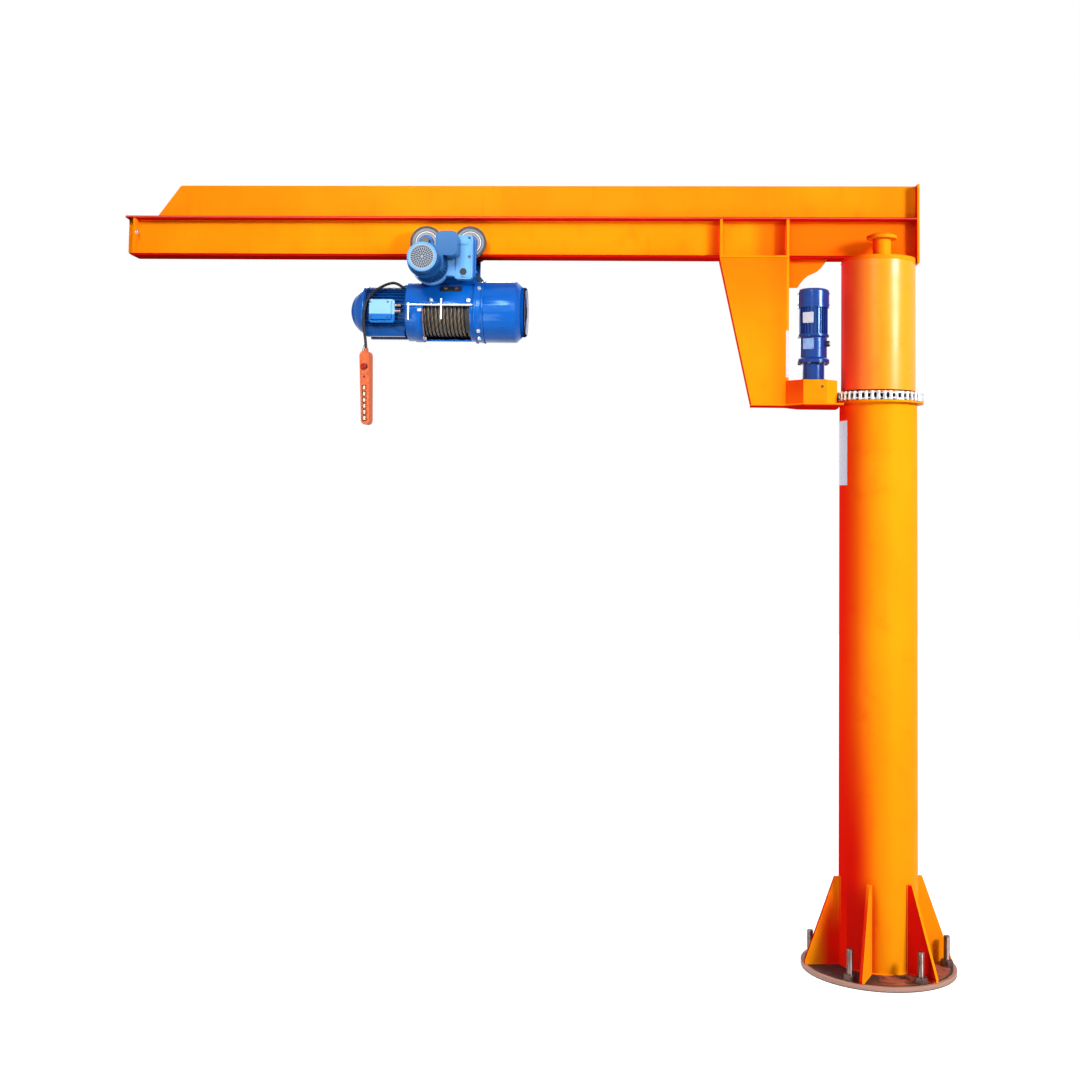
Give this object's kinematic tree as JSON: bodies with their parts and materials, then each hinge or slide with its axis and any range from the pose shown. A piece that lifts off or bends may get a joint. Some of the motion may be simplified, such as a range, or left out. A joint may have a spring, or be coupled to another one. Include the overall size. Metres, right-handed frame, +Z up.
{
  "type": "pillar-mounted slewing jib crane with an electric wire-rope hoist",
  "caption": "Free-standing pillar jib crane: a tube column with gusseted round base, a slewing beam jib driven by a motor on a chain ring, and an under-running trolley with a wire-rope hoist.",
  "frame": {"origin": "centre of the base plate's underside, on the floor", "axes": "+Z up along the column, the jib reaches towards -X at rest, -Y is the side with the travel motor"},
  "size_m": [3.61, 0.679, 3.289],
  "materials": {
    "base_paint": "rust-brown, worn and dirty base plate with traces of orange paint",
    "column_paint": "gloss orange enamel",
    "jib_paint": "gloss orange enamel",
    "drive_blue": "gloss deep blue enamel",
    "hoist_blue": "gloss blue enamel",
    "travel_blue": "satin steel-blue enamel",
    "bearing_steel": "turned steel",
    "chain_steel": "bright roller chain with dark gaps",
    "dark_steel": "blackened steel",
    "bright_steel": "zinc-plated steel",
    "cap_grey": "pale grey cast cap",
    "wheel_steel": "turned tread and dark rim",
    "rope_steel": "greased wire rope on a dark drum",
    "pendant_orange": "moulded salmon-orange plastic",
    "cable_black": "black rubber sheath"
  },
  "bodies": {
    "column": {"base_plate": "base_paint", "base_gussets": "column_paint", "column_tube": "column_paint", "column_top": "column_paint", "spindle": "bearing_steel", "chain_lip": "column_paint", "slew_chain": "chain_steel"},
    "jib": {"sleeve": "jib_paint", "sleeve_cap": "jib_paint", "cap_pin": "jib_paint", "jib_beam": "jib_paint", "jib_rib": "jib_paint", "rear_plate": "jib_paint", "trolley_stops": "jib_paint", "web_stiffeners": "jib_paint", "bracket_sides": "jib_paint", "bracket_front": "jib_paint", "bracket_rear": "jib_paint", "curved_gusset": "jib_paint", "bracket_bottom": "jib_paint", "motor_seat": "jib_paint", "drive_gearbox": "drive_blue", "drive_motor": "drive_blue", "drive_cowl": "drive_blue"},
    "sprocket": {"sprocket": "dark_steel"},
    "trolley": {"trolley_plates": "hoist_blue", "trolley_hanger": "hoist_blue", "travel_gearbox": "travel_blue", "travel_motor": "travel_blue", "travel_cowl": "travel_blue", "drum_housing": "hoist_blue", "rope_guide": "bright_steel", "gear_flange": "hoist_blue", "hoist_gearbox": "hoist_blue", "gearbox_cap": "cap_grey", "hoist_motor": "hoist_blue", "motor_dome": "hoist_blue", "terminal_box": "travel_blue", "pendant": "pendant_orange", "control_cable": "cable_black"},
    "drum": {"rope_drum": "rope_steel"},
    "wheel_near_out": {"wheel_near_out": "wheel_steel"},
    "wheel_near_in": {"wheel_near_in": "wheel_steel"},
    "wheel_far_out": {"wheel_far_out": "wheel_steel"},
    "wheel_far_in": {"wheel_far_in": "wheel_steel"}
  },
  "joints": [
    {"name": "jib_slew", "type": "hinge", "parent": "column", "child": "jib", "pos_m": [0, 0, 2.4], "axis": [0, 0, 1], "range_deg": [-180, 180]},
    {"name": "sprocket_turn", "type": "hinge", "parent": "jib", "child": "sprocket", "pos_m": [-0.27513, 0, 2.374], "axis": [0, 0, 1], "range_deg": [-331, 331]},
    {"name": "trolley_travel", "type": "slide", "parent": "jib", "child": "trolley", "axis": [1, 0, 0], "range_m": [-1.232, 0.82]},
    {"name": "drum_turn", "type": "hinge", "parent": "trolley", "child": "drum", "pos_m": [-1.853, 0, 2.732], "axis": [1, 0, 0], "continuous": true},
    {"name": "wheel_near_out_turn", "type": "hinge", "parent": "trolley", "child": "wheel_near_out", "pos_m": [-1.948, -0.05, 3.027], "axis": [0, 1, 0], "range_deg": [-1520, 1000]},
    {"name": "wheel_near_in_turn", "type": "hinge", "parent": "trolley", "child": "wheel_near_in", "pos_m": [-1.758, -0.05, 3.027], "axis": [0, 1, 0], "range_deg": [-1520, 1000]},
    {"name": "wheel_far_out_turn", "type": "hinge", "parent": "trolley", "child": "wheel_far_out", "pos_m": [-1.948, 0.05, 3.027], "axis": [0, 1, 0], "range_deg": [-1520, 1000]},
    {"name": "wheel_far_in_turn", "type": "hinge", "parent": "trolley", "child": "wheel_far_in", "pos_m": [-1.758, 0.05, 3.027], "axis": [0, 1, 0], "range_deg": [-1520, 1000]}
  ],
  "couplings": [
    {"joint": "sprocket_turn", "follows": "jib_slew", "ratio": 1.8333},
    {"joint": "wheel_near_out_turn", "follows": "trolley_travel", "rad_per_m": 20.833},
    {"joint": "wheel_near_in_turn", "follows": "trolley_travel", "rad_per_m": 20.833},
    {"joint": "wheel_far_out_turn", "follows": "trolley_travel", "rad_per_m": 20.833},
    {"joint": "wheel_far_in_turn", "follows": "trolley_travel", "rad_per_m": 20.833}
  ]
}
